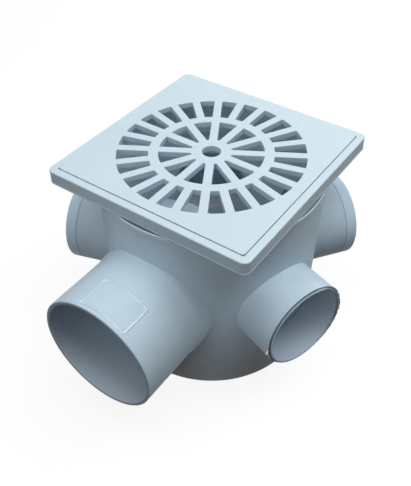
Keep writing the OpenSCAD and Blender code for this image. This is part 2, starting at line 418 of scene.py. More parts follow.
@dataclass(frozen=True)
class FramePlastic(MouldedPlastic):
    """Plastic of the cover's frame, with painted light down its neck and painted shade on its
    skirt.
    """

    # Painted light: the inside of the neck, seen through the grate, made pale.
    inside: Colour = (0.770, 0.868, 0.955)
    # Painted shade on the skirt's outer faces.
    side: Colour = (0.36, 0.48, 0.58)
    neck_r: float = 92.4 * MM
    ledge: float = 193.0 * MM

    def layers(self, graph: Graph, where: Value) -> Layers:
        """Adds painted light down the neck and painted shade on the skirt to the plain plastic.
        """
        colour, roughness, height = super().layers(graph, where)
        radius, z = graph.radius(where), graph.part(where, 2)
        # Painted light down the inside of the neck, under the ledge.
        neck = graph.fall(radius, self.neck_r, self.neck_r + 0.3 * MM)
        neck = neck * graph.fall(z, self.ledge - 0.3 * MM, self.ledge)
        colour = graph.mix(neck, colour, self.inside)
        # Painted shade on the skirt's outer faces, in noisy streaks.
        reach = graph.math("MAXIMUM", abs(graph.part(where, 0)), abs(graph.part(where, 1)))
        skirt = graph.step(reach, COVER_HALF - 3.0 * MM, COVER_HALF - 2.0 * MM)
        skirt = skirt * graph.fall(z, COVER_TOP - 1.3 * MM, COVER_TOP - 0.7 * MM)
        shade_streak = graph.noise(where, 30.0, 3.0, 0.6) * 0.3 + 0.35
        return graph.mix(skirt * shade_streak, colour, self.side), roughness, height


@dataclass(frozen=True)
class GratePlastic(MouldedPlastic):
    """Plastic of the grate, with painted shade down the sides of its slots."""

    # Painted shade down the sides of the slots.
    wall_shade: Colour = (0.44, 0.57, 0.68)

    def layers(self, graph: Graph, where: Value) -> Layers:
        """Adds painted shade under the top face to the plain plastic."""
        colour, roughness, height = super().layers(graph, where)
        z = graph.part(where, 2)
        # Painted shade on everything under the top face.
        below = graph.fall(z, GRATE_TOP - 1.0 * MM, GRATE_TOP - 0.4 * MM)
        return graph.mix(below * 0.6, colour, self.wall_shade), roughness, height


@dataclass(frozen=True)
class PadPlastic(MouldedPlastic):
    """Plastic of the outlet's pad, with a painted highlight along parts of its raised edge and at
    its corners.
    """

    # Painted highlight along the bead's raised edge.
    painted_highlight: Colour = (0.74, 0.88, 0.98)
    middle: float = 145.8 * MM
    half_length: float = 15.2 * MM

    def layers(self, graph: Graph, where: Value) -> Layers:
        """Adds the painted highlight on the edge to the plain plastic."""
        colour, roughness, height = super().layers(graph, where)
        across, along = graph.part(where, 0), graph.along(where, Port.OUTLET.axis)
        off = graph.off_axis(where, Port.OUTLET)
        # Painted highlight: the bead on the right side and at the two left corners made pale and
        # less rough, broken by noise.
        edge = graph.step(off - OUTLET_R, 0.17 * MM, 0.40 * MM)
        ends = graph.step(abs(along - self.middle), self.half_length - 4 * MM,
                          self.half_length - 2 * MM)
        corner = ends * graph.fall(across, -9.0 * MM, -6.0 * MM)
        glint_breaks = graph.step(graph.noise(where, 150.0, 2.0), 0.36, 0.56)
        painted_glint = edge * (graph.step(across, 9.0 * MM, 16.0 * MM) + corner).clamped() * glint_breaks
        return graph.mix(painted_glint, colour, self.painted_highlight), roughness - painted_glint * 0.12, height


@dataclass(frozen=True)
class CapPlastic(MouldedPlastic):
    """Plastic of a cap bonded on a stub, with a dark line in the seam."""

    port: Port = Port.LEFT
    seam_width: float = 0.75 * MM
    # Dark line of grime in the seam of the bonded joint.
    grime_and_shade: Colour = (0.30, 0.38, 0.47)
    # Painted light: the inside of the cap made pale.
    inside: Colour = (0.930, 0.965, 1.000)
    inner_r: float = 39.1 * MM
    end: float = 130.98 * MM

    def layers(self, graph: Graph, where: Value) -> Layers:
        """Adds the seam's dark line and painted light inside the cap to the plain plastic."""
        colour, roughness, height = super().layers(graph, where)
        along, off = graph.along(where, self.port.axis), graph.off_axis(where, self.port)
        line = graph.fall(abs(along - SEAM), 0.35 * self.seam_width, self.seam_width)
        # Painted light over the inside of the cap.
        inner = graph.fall(off, self.inner_r - 0.5 * MM, self.inner_r)
        inner = inner * graph.fall(along, self.end - 2.0 * MM, self.end - 1.0 * MM)
        colour = graph.mix(inner, colour, self.inside)
        return graph.mix(line * 0.8, colour, self.grime_and_shade), roughness, height


@dataclass(frozen=True)
class SawnPlastic(BodyPlastic):
    """Plastic of the sawn rim, darkened on the cut face, with a painted highlight along the lip
    and pale burrs.
    """

    cut: float = 130.99 * MM
    # Colour that the cut face is darkened towards.
    cut_dark: Colour = (0.15, 0.19, 0.23)
    # Pale of the burrs and the swarf curl, and a painted highlight along the lip's edge.
    clean: Colour = (0.80, 0.94, 1.0)
    lip_r: float = 39.0 * MM

    def layers(self, graph: Graph, where: Value) -> Layers:
        """Adds the darkened cut face, a painted highlight along its lip and its pale burrs to the
        plain plastic.
        """
        colour, roughness, height = super().layers(graph, where)
        along = graph.along(where, Port.OPEN_INLET.axis)
        across = graph.along(where, Port.OPEN_INLET.side)
        off, z = graph.off_axis(where, Port.OPEN_INLET), graph.part(where, 2)
        face = graph.step(along, self.cut - 1.75 * MM, self.cut - 1.50 * MM)
        crumbs = graph.noise(where, 700.0, 3.0, 0.7)
        torn = graph.step(across, 6.0 * MM, 22.0 * MM)
        upper = graph.step(z, PORT_HEIGHT - 34.0 * MM, PORT_HEIGHT - 2.0 * MM)
        # The cut face darkened, more so towards its top and in noisy crumbs.
        cut_darkening = (0.72 + crumbs * 0.4).clamped() * (0.55 + upper * 0.45)
        colour = graph.mix(face * cut_darkening, colour, self.cut_dark)
        # Painted highlight along the lip's edge.
        lip = graph.step(along, self.cut - 0.05 * MM, self.cut + 0.15 * MM)
        lip = lip * graph.step(off, self.lip_r - 0.75 * MM, self.lip_r - 0.55 * MM)
        lip = lip * graph.step(z, PORT_HEIGHT - 18.0 * MM, PORT_HEIGHT + 2.0 * MM)
        chips = torn * graph.step(crumbs, 0.57, 0.62) * face
        kept = (1.0 - torn) * graph.step(crumbs, 0.30, 0.42) + chips
        curl = graph.step(off, STUB_R + 0.12 * MM, STUB_R + 0.3 * MM) * (1.0 - torn)
        # Painted highlight on the lip where not torn; pale burrs on the torn side and on the
        # curl.
        pale = (lip * (1.0 - torn) * kept + torn * kept * 0.8 + curl).clamped()
        colour = graph.mix(pale, colour, self.clean)
        return colour, (roughness + face * 0.2).clamped(), height + face * crumbs * 2.0


# ---------------------------------------------------------------- mesh tools


@dataclass
class Skin:
    """Faces strung between rings of points, all with as many points."""

    points: list[Vector] = field(default_factory=list)
    faces: list[tuple[int, ...]] = field(default_factory=list)

    def ring(self, points: Iterable[Vector]) -> list[int]:
        """Adds the points of one ring and returns their numbers."""
        start = len(self.points)
        self.points.extend(points)
        return list(range(start, len(self.points)))

    def bridge(self, first: Sequence[int], second: Sequence[int], closed: bool = True) -> None:
        """Strings faces between two rings.

        Args:
            first: one ring's numbers.
            second: the next ring's numbers.
            closed: whether the last point joins the first.
        """
        count = len(first)
        for index in range(count if closed else count - 1):
            after = (index + 1) % count
            self.faces.append((first[index], first[after], second[after], second[index]))

    def sheet(self, rows: Iterable[Iterable[Vector]]) -> list[list[int]]:
        """Strings rows side by side into an open sheet and returns their numbers."""
        numbers = [self.ring(row) for row in rows]
        for first, second in zip(numbers, numbers[1:]):
            self.bridge(first, second, closed=False)
        return numbers

    def loop(self, rings: Sequence[Iterable[Vector]]) -> "Skin":
        """Strings rings one after another and joins the last to the first."""
        numbers = [self.ring(points) for points in rings]
        for index, numbered in enumerate(numbers):
            self.bridge(numbered, numbers[(index + 1) % len(numbers)])
        return self

    def mesh(self, name: str) -> bpy.types.Mesh:
        """Makes a clean mesh of the faces.

        Args:
            name: name of the mesh.

        Returns:
            The mesh, with its doubled points merged and its faces turned outwards.
        """
        made = bpy.data.meshes.new(name)
        made.from_pydata(self.points, [], self.faces)
        clean(made)
        return made


def clean(mesh: bpy.types.Mesh, merge: float = 0.002 * MM) -> None:
    """Merges doubled points, drops empty faces and turns the rest outwards.

    Args:
        mesh: the mesh to clean.
        merge: how near two points are when they count as one.
    """
    work = bmesh.new()
    work.from_mesh(mesh)
    bmesh.ops.remove_doubles(work, verts=work.verts, dist=merge)
    bmesh.ops.dissolve_degenerate(work, edges=work.edges, dist=merge / 2)
    bmesh.ops.recalc_face_normals(work, faces=work.faces)
    work.to_mesh(mesh)
    work.free()


def arc(x: float, y: float, r: float, start: float, end: float, steps: int) -> list[Flat]:
    """Points of an arc, its two ends included.

    Args:
        x: first coordinate of the centre.
        y: second coordinate of the centre.
        r: radius.
        start: angle of the first point, in degrees.
        end: angle of the last point, in degrees.
        steps: how many chords it is drawn with.

    Returns:
        The points in order.
    """
    angles = [math.radians(start + (end - start) * i / steps) for i in range(steps + 1)]
    return [(x + r * math.cos(a), y + r * math.sin(a)) for a in angles]


def turns(steps: int) -> list[float]:
    """Angles of a full turn in equal steps."""
    return [2 * math.pi * i / steps for i in range(steps)]


def link(name: str, data: bpy.types.ID) -> bpy.types.Object:
    """Makes an object of some data and puts it in the scene."""
    made = bpy.data.objects.new(name, data)
    bpy.context.scene.collection.objects.link(made)
    return made


def place(
    mesh: bpy.types.Mesh, name: str, finish: MouldedPlastic, slot: str, *nodes: str,
    sharp: float = 35.0,
) -> bpy.types.Object:
    """Puts a finished mesh on the part.

    Args:
        mesh: the piece's mesh, in the part's own frame.
        name: name of the piece.
        finish: what it is made of.
        slot: name of a material slot, not used.
        nodes: solids that it stands for.
        sharp: angle above which an edge shows as an edge, in degrees.

    Returns:
        The piece.
    """
    for polygon in mesh.polygons:
        polygon.use_smooth = True
    mesh.set_sharp_from_angle(angle=math.radians(sharp))
    piece = link(name, mesh)
    even = piece.modifiers.new("even_normals", "WEIGHTED_NORMAL")
    even.keep_sharp = True
    even.weight = 100
    apply_modifiers(piece)
    piece.data.materials.append(finish.material())
    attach(piece, BODY)
    if nodes:
        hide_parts(*nodes)
    LOG.info("%s: %d faces, stands for %s", name, len(piece.data.polygons), nodes or "no solid")
    return piece


def apply_modifiers(piece: bpy.types.Object) -> None:
    """Replaces a piece's mesh by the one that its modifiers make."""
    evaluated = piece.evaluated_get(bpy.context.evaluated_depsgraph_get())
    finished = bpy.data.meshes.new_from_object(evaluated)
    piece.modifiers.clear()
    piece.data = finished


def combine(mesh: bpy.types.Mesh, tool: bpy.types.Mesh, operation: str) -> bpy.types.Mesh:
    """Joins or cuts a mesh with another.

    Args:
        mesh: the mesh to change.
        tool: the mesh that is added or taken away.
        operation: UNION or DIFFERENCE.

    Returns:
        The new mesh.
    """
    piece, helper = link("work", mesh), link("tool", tool)
    change = piece.modifiers.new("change", "BOOLEAN")
    change.operation = operation
    change.solver = "EXACT"
    change.object = helper
    bpy.context.view_layer.update()
    apply_modifiers(piece)
    made = piece.data
    for item in (piece, helper):
        bpy.data.objects.remove(item)
    clean(made)
    return made


@dataclass(frozen=True)
class Square:
    """A square with rounded corners, or a circle where the radius is half the side."""

    half: float
    r: float
    z: float

    def reach(self, angle: float) -> float:
        """Distance from the centre to the outline in a direction."""
        far, near = sorted((abs(math.cos(angle)), abs(math.sin(angle))), reverse=True)
        straight = self.half - self.r
        if near * self.half / far <= straight:
            return self.half / far
        centre = straight * (far + near)
        return centre + math.sqrt(max(0.0, centre**2 - 2 * straight**2 + self.r**2))

    def corner_angles(self, steps: int) -> list[float]:
        """Directions of the points on the corner between +X and +Y."""
        straight = self.half - self.r
        return [math.atan2(y, x) for x, y in arc(straight, straight, self.r, 0, 90, steps)]

    def outline(self, angles: Iterable[float]) -> list[Vector]:
        """Points of the outline in the given directions."""
        return [
            Vector((self.reach(a) * math.cos(a), self.reach(a) * math.sin(a), self.z))
            for a in angles
        ]


@dataclass
class Plate:
    """A flat plate with holes and a small round on every edge."""

    outlines: list[list[Flat]]
    bottom: float
    top: float
    edge_r: float = 0.0

    def mesh(self, name: str) -> bpy.types.Mesh:
        """Fills the outlines and gives them depth.

        Args:
            name: name of the mesh.

        Returns:
            The plate's mesh.
        """
        curve = bpy.data.curves.new(name, "CURVE")
        curve.dimensions = "2D"
        curve.fill_mode = "BOTH"
        curve.extrude = (self.top - self.bottom) / 2 - self.edge_r
        curve.bevel_depth = self.edge_r
        curve.bevel_resolution = 2
        curve.offset = -self.edge_r
        for outline in self.outlines:
            spline = curve.splines.new("POLY")
            spline.points.add(len(outline) - 1)
            for point, (x, y) in zip(spline.points, outline):
                point.co = (x, y, 0.0, 1.0)
            spline.use_cyclic_u = True
        holder = link(name, curve)
        evaluated = holder.evaluated_get(bpy.context.evaluated_depsgraph_get())
        made = bpy.data.meshes.new_from_object(evaluated)
        bpy.data.objects.remove(holder)
        made.transform(Matrix.Translation((0, 0, (self.top + self.bottom) / 2)))
        clean(made)
        return made


# ---------------------------------------------------------------- sub-assemblies


@dataclass
class CoverFrame:
    """Square frame that carries the grate, with a neck that pushes into the body."""

    finish: MouldedPlastic
    half: float = COVER_HALF
    corner_r: float = 6.5 * MM
    top: float = COVER_TOP
    bottom: float = 187.0 * MM
    edge_r: float = 0.9 * MM
    lip: float = 0.3 * MM
    lip_height: float = 1.2 * MM
    skirt_wall: float = 2.6 * MM
    recess_half: float = 91.3 * MM
    recess_r: float = 1.2 * MM
    recess_edge_r: float = 0.35 * MM
    ledge_top: float = 193.9 * MM
    ledge_bottom: float = 190.9 * MM
    opening_r: float = 85.52 * MM
    neck_r: float = 92.32 * MM
    neck_wall: float = 2.9 * MM
    neck_bottom: float = 157.0 * MM
    shoulder_r: float = 97.506 * MM
    shoulder_width: float = 1.7 * MM
    shoulder_bottom: float = 186.3 * MM
    rib_thickness: float = 2.0 * MM
    rib_spread: float = 13.0

    def directions(self) -> list[float]:
        """Directions that every ring has its points in, close together at the corners."""
        quarter = {math.radians(3.0 * i) for i in range(30)}
        quarter.update(Square(self.half, self.corner_r, 0.0).corner_angles(10))
        quarter.update(Square(self.recess_half, self.recess_r, 0.0).corner_angles(6))
        ordered: list[float] = []
        for angle in sorted(quarter):
            if not ordered or angle - ordered[-1] > 0.0006:
                ordered.append(angle)
        return [angle + turn * math.pi / 2 for turn in range(4) for angle in ordered]

    def outside(self) -> list[Square]:
        """Rings up the outside, over the border and down to the opening."""
        low = self.bottom + self.lip_height
        skirt = [
            (self.lip - 0.25 * MM, self.bottom), (self.lip - 0.07 * MM, self.bottom + 0.07 * MM),
            (self.lip, self.bottom + 0.25 * MM), (self.lip, low - 0.35 * MM),
            (self.lip - 0.1 * MM, low - 0.12 * MM), (self.lip - 0.3 * MM, low),
            (0.0, low + 0.15 * MM),
            *arc(-self.edge_r, self.top - self.edge_r, self.edge_r, 0, 90, 5),
        ]
        edge_r = self.recess_edge_r
        recess = arc(edge_r, self.top - edge_r, edge_r, 90, 180, 3)
        seat = ((0.0, self.ledge_top + 0.2 * MM), (0.2 * MM, self.ledge_top))
        rings = [Square(self.half + x, self.corner_r + x, z) for x, z in skirt]
        rings += [Square(self.recess_half + x, self.recess_r + x, z) for x, z in recess]
        return rings + [Square(self.recess_half - x, self.recess_r, z) for x, z in seat]

    def inside(self) -> list[Square]:
        """Rings down the opening and the neck, and up its outside."""
        neck_outer = self.neck_r + self.neck_wall
        profile = (
            (self.opening_r + 0.3 * MM, self.ledge_top),
            (self.opening_r, self.ledge_top - 0.3 * MM),
            (self.opening_r, self.ledge_bottom + 0.2 * MM),
            (self.opening_r + 0.2 * MM, self.ledge_bottom),
            (self.neck_r - 0.4 * MM, self.ledge_bottom),
            (self.neck_r, self.ledge_bottom - 0.4 * MM),
            (self.neck_r, self.neck_bottom + 0.4 * MM),
            (self.neck_r + 0.4 * MM, self.neck_bottom),
            (neck_outer - 0.6 * MM, self.neck_bottom),
            (neck_outer, self.neck_bottom + 0.6 * MM),
            (self.shoulder_r - self.shoulder_width, self.shoulder_bottom),
            (self.shoulder_r - 0.2 * MM, self.shoulder_bottom),
            (self.shoulder_r, self.shoulder_bottom + 0.2 * MM),
        )
        return [Square(r, r, z) for r, z in profile]

    def corner_hollows(self, angles: Sequence[float]) -> list[list[Vector]]:
        """Rings round the hollow under each corner, between the neck and the skirt.

        Args:
            angles: directions of the points.

        Returns:
            The rings from the neck out to the lower edge of the skirt.
        """
        half = self.half - self.skirt_wall
        wall = Square(half, self.corner_r - self.skirt_wall, 0.0)
        rings: list[list[Vector]] = [[], [], []]
        for angle in angles:
            out = max(wall.reach(angle), self.shoulder_r)
            open_here = out > self.shoulder_r
            ceiling = self.ledge_bottom if open_here else self.bottom
            way = Vector((math.cos(angle), math.sin(angle), 0.0))
            up = Vector((0, 0, 1))
            rings[0].append(way * self.shoulder_r + up * ceiling)
            rings[1].append(way * out + up * ceiling)
            rings[2].append(way * out + up * self.bottom)
        return rings

    def ribs(self) -> bpy.types.Mesh:
        """Upright ribs under the corners, three to each."""
        skin = Skin()
        floor, ceiling = self.bottom + 0.6 * MM, self.ledge_bottom + 0.6 * MM
        wall = Square(self.half - self.skirt_wall / 2, self.corner_r / 2, 0.0)
        for corner in range(4):
            for turn in (-self.rib_spread, 0.0, self.rib_spread):
                angle = math.radians(45.0 + 90.0 * corner + turn)
                way = Vector((math.cos(angle), math.sin(angle), 0.0))
                across = Vector((-way.y, way.x, 0.0)) * (self.rib_thickness / 2)
                ends = (self.shoulder_r - 0.8 * MM, wall.reach(angle))
                rings = []
                for z in (floor, ceiling):
                    up = Vector((0, 0, z))
                    rings.append(skin.ring(
                        way * ends[i] + across * side + up
                        for i, side in ((0, -1), (1, -1), (1, 1), (0, 1))
                    ))
                skin.bridge(*rings)
                skin.faces += [tuple(rings[0]), tuple(rings[1])]
        return skin.mesh("cover_ribs")

    def build(self) -> bpy.types.Object:
        """Builds the frame in place of its solid."""
        angles = self.directions()
        rings = [square.outline(angles) for square in self.outside() + self.inside()]
        mesh = Skin().loop(rings + self.corner_hollows(angles)).mesh("frame_moulding")
        mesh = combine(mesh, self.ribs(), "UNION")
        return place(mesh, "frame_moulding", self.finish, "cover_plastic", "cover_frame")


@dataclass
class Grate:
    """Loose square grate with two rings of slots round a hub with a lifting hole."""

    finish: MouldedPlastic
    half: float = 90.7 * MM
    corner_r: float = 2.5 * MM
    bottom: float = 194.2 * MM
    top: float = GRATE_TOP
    plate: float = 3.2 * MM
    edge_r: float = 0.35 * MM
    outer_r: float = 81.02 * MM
    slot_length: float = 27.2 * MM
    ring_width: float = 8.5 * MM
    hub_r: float = 17.5 * MM
    hole_r: float = 8.1 * MM
    bar: float = 7.2 * MM
    outer_count: int = 24
    inner_count: int = 12
    slot_corner_r: float = 0.7 * MM

    def slot(self, outer: float, inner: float, count: int, index: int) -> list[Flat]:
        """Outline of one slot between two bars.

        Args:
            outer: radius of the slot's outer end.
            inner: radius of the slot's inner end.
            count: how many slots the ring has.
            index: which slot this is.

        Returns:
            The outline's points.
        """
        pitch = 360.0 / count
        corners = []
        for r, order in ((outer, 1), (inner, -1)):
            lean = math.degrees(math.asin(self.bar / 2 / r))
            ends = (index * pitch + lean, (index + 1) * pitch - lean)[::order]
            steps = max(3, round(abs(ends[1] - ends[0]) / 2))
            corners += arc(0, 0, r, ends[0], ends[1], steps)
        return soften(corners, self.slot_corner_r)

    def outlines(self) -> list[list[Flat]]:
        """The plate's edge, its slots and its lifting hole."""
        ring_r = self.outer_r - self.slot_length
        flat = self.half - self.corner_r
        edge = []
        for x, y, start in ((1, 1, 0), (-1, 1, 90), (-1, -1, 180), (1, -1, 270)):
            edge += arc(x * flat, y * flat, self.corner_r, start, start + 90, 8)
        found = [edge, arc(0, 0, self.hole_r, 0, 354, 59)]
        for outer, inner, count in (
            (self.outer_r, ring_r, self.outer_count),
            (ring_r - self.ring_width, self.hub_r, self.inner_count),
        ):
            found += [self.slot(outer, inner, count, index) for index in range(count)]
        return found

    def hollow(self) -> bpy.types.Mesh:
        """What is taken out below the plate, outside the round of slots."""
        reach = self.half - self.plate
        sides = [(reach, reach), (-reach, reach), (-reach, -reach), (reach, -reach)]
        rim = arc(0, 0, self.outer_r + self.plate, 0, 357, 119)
        return Plate([sides, rim], self.bottom - MM, self.top - self.plate).mesh("hollow")

    def build(self) -> bpy.types.Object:
        """Builds the grate in place of its solid."""
        mesh = Plate(self.outlines(), self.bottom, self.top, self.edge_r).mesh("slotted_grate")
        mesh = combine(mesh, self.hollow(), "DIFFERENCE")
        return place(mesh, "slotted_grate", self.finish, "grate_plastic", "grate")


def soften(outline: Sequence[Flat], r: float) -> list[Flat]:
    """Rounds the sharp corners of a closed outline.

    Args:
        outline: the outline's points.
        r: how far before and after a corner the round begins.

    Returns:
        The outline with each sharp corner cut by a small curve.
    """
    made: list[Flat] = []
    points = [Vector(p) for p in outline]
    for index, point in enumerate(points):
        back = points[index - 1] - point
        ahead = points[(index + 1) % len(points)] - point
        if back.angle(-ahead) < math.radians(30):
            made.append(tuple(point))
            continue
        first = point + back.normalized() * min(r, back.length * 0.6)
        last = point + ahead.normalized() * min(r, ahead.length * 0.6)
        for share in (0.0, 0.33, 0.67, 1.0):
            bent = first.lerp(point, share).lerp(point.lerp(last, share), share)
            made.append(tuple(bent))
    return made


@dataclass
class PortFillet:
    """Soft fillet where a port runs into the round wall of the chamber."""

    port: Port
    finish: MouldedPlastic
    port_r: float
    ball_r: float = 0.65 * MM
    sunk: float = 0.6 * MM
    steps: int = 120
    chords: int = 6

    def wall_r(self, z: float) -> float:
        """Radius of the chamber's outside at a height."""
        return RIM_R - TAPER * (1 - z / BODY_TOP)

    def point(self, across: float, out: float, up: float) -> Vector:
        """A point from its place across, along and above the port's line."""
        return self.port.side * across + self.port.axis * out + Vector((0, 0, up))

    def section(self, angle: float) -> list[Vector]:
        """Section of the fillet at one place round the port.

        Args:
            angle: angle round the port, from level.

        Returns:
            The points of the round and of its back, sunk in the wall.
        """
        c, s = math.cos(angle), math.sin(angle)
        away = self.port_r + self.ball_r
        across, up = away * c, PORT_HEIGHT + away * s
        wall = self.wall_r(up)
        out = math.sqrt((wall + self.ball_r) ** 2 - across**2)
        ball = self.point(across, out, up)
        on_port = self.point(self.port_r * c, out, PORT_HEIGHT + self.port_r * s)
        share = wall / (wall + self.ball_r)
        on_wall = self.point(across * share, out * share, up)
        first, last = (on_port - ball).normalized(), (on_wall - ball).normalized()
        points = []
        for i in range(self.chords + 1):
            reach = self.ball_r * (1.02 if i in (0, self.chords) else 1.0)
            points.append(ball + first.slerp(last, i / self.chords) * reach)
        deep_r = self.port_r - self.sunk
        across, up = deep_r * c, PORT_HEIGHT + deep_r * s
        out = math.sqrt((self.wall_r(up) - self.sunk) ** 2 - across**2)
        return points + [self.point(across, out, up)]

    def build(self) -> bpy.types.Object:
        """Builds the fillet on the body."""
        mesh = Skin().loop([self.section(turn) for turn in turns(self.steps)]).mesh("fillet")
        name = "fillet_" + self.port.name.lower()
        return place(mesh, name, self.finish, "body_plastic", sharp=60.0)


@dataclass
class SawnRim:
    """What the saw left of the cap on the open inlet, with a ragged end."""

    finish: MouldedPlastic
    port: Port = Port.OPEN_INLET
    end: float = 130.99 * MM
    outer_r: float = STUB_R
    collar_r: float = 39.0 * MM
    bore_r: float = 37.65 * MM
    lip_r: float = 38.9 * MM
    bevel: float = 0.5 * MM
    step_down: float = 1.3 * MM
    curl_at: float = 3.25
    steps: int = 480

    def ragged(self, angle: float, layer: float, fine: float) -> float:
        """Uneven height of the cut, between -1 and 1.

        Args:
            angle: angle round the inlet.
            layer: keeps neighbouring lines apart.
            fine: how many lumps there are round the rim.

        Returns:
            The height.
        """
        place_at = Vector((math.cos(angle) * fine, math.sin(angle) * fine, layer))
        return noise.noise(place_at) * 1.6

    def sections(self, angle: float) -> tuple[list[Vector], list[Vector]]:
        """Sections of the sawn collar and of the lip inside it.

        Args:
            angle: angle round the inlet.

        Returns:
            The points of the collar and those of the lip.
        """
        torn = max(0.0, math.cos(angle - 0.25)) ** 2
        tooth = self.ragged(angle, 3.1, 26.0) * (0.06 + 0.20 * torn) * MM
        sway = self.ragged(angle, 7.7, 1.3) * 0.12 * MM
        chip = max(0.0, self.ragged(angle, 5.2, 8.0) - 0.35) * (0.25 + 0.9 * torn) * MM
        burr = max(0.0, self.ragged(angle, 9.4, 17.0) + 0.3) * 1.4 * torn * MM + 0.5 * torn * MM
        flare = (0.3 + 0.5 * abs(self.ragged(angle, 2.2, 21.0))) * torn * MM
        curl = math.exp(-(((angle - self.curl_at) / 0.030) ** 2)) * 3.6 * MM
        face = self.end - self.step_down + sway
        lip = self.end + 0.35 * MM + sway + 0.6 * burr
        collar = [
            (self.collar_r, face - 0.3 * MM),
            (self.collar_r, SEAM),
            (self.outer_r - self.bevel, SEAM),
            (self.outer_r + 0.01 * MM, SEAM - self.bevel - 0.02 * MM),
            (self.outer_r + 0.01 * MM, SEAM + 1.0 * MM),
            (self.outer_r + 0.2 * flare, face - 1.0 * MM - chip),
            (self.outer_r + flare + curl, face - 0.28 * MM - chip + curl * 0.2),
            (self.outer_r - 0.22 * MM + flare + curl,
             face - 0.02 * MM - 0.7 * chip + tooth + curl * 0.4),
            (self.outer_r - 0.7 * MM, face + tooth * self.ragged(angle, 1.0, 40.0)),
            (self.collar_r + 0.08 * MM, face - tooth),
        ]
        inner = [
            (self.lip_r - 0.4 * MM, self.end - 1.6 * MM),
            (self.lip_r + 0.02 * MM, self.end - 1.5 * MM),
            (self.lip_r + 0.02 * MM, lip - 0.15 * MM),
            (self.lip_r - 0.15 * MM, lip + 0.3 * tooth),
            (self.bore_r + 0.5 * MM - 0.3 * burr, lip + tooth - 0.05 * MM),
            (self.bore_r + 0.05 * MM - burr, lip - 0.2 * MM + tooth),
            (self.bore_r - 0.03 * MM - 0.6 * burr, self.end - 0.3 * MM - 0.5 * burr),
            (self.bore_r - 0.02 * MM, self.end - 1.0 * MM - 0.5 * burr),
            (self.bore_r + 0.3 * MM, self.end - 1.0 * MM - 0.5 * burr),
        ]
        return self.port.around(angle, collar), self.port.around(angle, inner)

    def build(self) -> bpy.types.Object:
        """Builds the rim in place of its solid."""
        pairs = [self.sections(turn) for turn in turns(self.steps)]
        skin = Skin().loop([first for first, _ in pairs]).loop([second for _, second in pairs])
        return place(skin.mesh("sawn_rim"), "sawn_rim", self.finish, "cap_plastic",
                     "sawn_cap_ring", sharp=28.0)


@dataclass
class SealBead:
    """Thin bead of cement squeezed out in the seam of a bonded cap."""

    port: Port
    finish: MouldedPlastic
    half_width: float = 0.40 * MM
    depth: float = 0.16 * MM
    steps: int = 180

    def section(self, angle: float) -> list[Vector]:
        """Section of the bead at one place round the seam."""
        swell = noise.noise(Vector((math.cos(angle) * 4.0, math.sin(angle) * 4.0, 2.3)))
        crown = STUB_R - self.depth + 0.08 * MM * swell
        shoulder = STUB_R - self.half_width - 0.08 * MM
        profile = [
            (shoulder - 0.3 * MM, 0.0),
            (shoulder, -self.half_width),
            (crown - 0.08 * MM, -self.half_width * 0.6),
            (crown, 0.0),
            (crown - 0.08 * MM, self.half_width * 0.6),
            (shoulder, self.half_width),
        ]
        return self.port.around(angle, profile, SEAM)

    def build(self) -> bpy.types.Object:
        """Builds the bead in its seam."""
        mesh = Skin().loop([self.section(turn) for turn in turns(self.steps)]).mesh("seal_bead")
        name = "seal_bead_" + self.port.name.lower()
        return place(mesh, name, self.finish, "cap_plastic", sharp=60.0)


@dataclass
class MarkingPad:
    """Low bare pad on top of the outlet, with a thin bead round its edge."""

    finish: MouldedPlastic
    turn_from: float = -13.0
    turn_to: float = 35.5
    back: float = 130.6 * MM
    front: float = 161.0 * MM
    rise: float = 0.15 * MM
    slope: float = 0.5 * MM
    bead: float = 0.45 * MM
    bead_width: float = 0.75 * MM
    corner_r: float = 1.6 * MM
    sunk: float = 0.4 * MM

    def stations(self, length: float) -> list[float]:
        """Places of the grid lines along one side, close together at its ends."""
        ends = [i * 0.2 * MM for i in range(12)]
        middle = int(length / (2.5 * MM))
        between = [ends[-1] + (length - 2 * ends[-1]) * i / middle for i in range(1, middle)]
        return ends + between + [length - e for e in reversed(ends)]

    def lift(self, x: float, y: float, width: float, length: float) -> float:
        """Height of the pad's face over the pipe at a place on it.

        Args:
            x: distance from the pad's left edge.
            y: distance from its back edge.
            width: the pad's width.
            length: the pad's length.

        Returns:
            The height, below the pipe's face at the pad's edge.
        """
        across = abs(x - width / 2) - width / 2 + self.corner_r
        along = abs(y - length / 2) - length / 2 + self.corner_r
        over = math.hypot(max(across, 0.0), max(along, 0.0)) + min(max(across, along), 0.0)
        inset = self.corner_r - over
        share = min(1.0, max(0.0, inset / self.slope))
        bead = self.bead * math.exp(-(((inset - self.slope - 0.4 * MM) / self.bead_width) ** 2))
        return -0.15 * MM + (self.rise + 0.15 * MM + bead) * share * share * (3 - 2 * share)

    def build(self) -> bpy.types.Object:
        """Builds the pad on the outlet."""
        width = math.radians(self.turn_to - self.turn_from) * OUTLET_R
        length = self.front - self.back
        skin = Skin()
        borders = []
        for flat in (False, True):
            sheet = []
            for y in self.stations(length):
                row = []
                for x in self.stations(width):
                    r = OUTLET_R + (-self.sunk if flat else self.lift(x, y, width, length))
                    turn = math.radians(self.turn_from) + x / OUTLET_R
                    row.append(Vector((r * math.sin(turn), -self.back - y,
                                       PORT_HEIGHT + r * math.cos(turn))))
                sheet.append(row)
            rows = skin.sheet(sheet)
            borders.append(rows[0] + [row[-1] for row in rows[1:]] + rows[-1][-2::-1]
                           + [row[0] for row in rows[-2:0:-1]])
        skin.bridge(*borders)
        return place(skin.mesh("marking_pad"), "marking_pad", self.finish, "body_plastic",
                     sharp=60.0)


@dataclass
class CarriedSolids:
    """Solids whose shape already stands, which only take their finish."""

    finishes: dict[str, MouldedPlastic]

    def dress(self) -> None:
        """Puts each finish on its solid."""
        for node, finish in self.finishes.items():
            material = finish.material()
            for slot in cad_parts[node].material_slots:
                slot.material = material
            LOG.info("%s: dressed in %s", node, finish.name)


# ---------------------------------------------------------------- studio


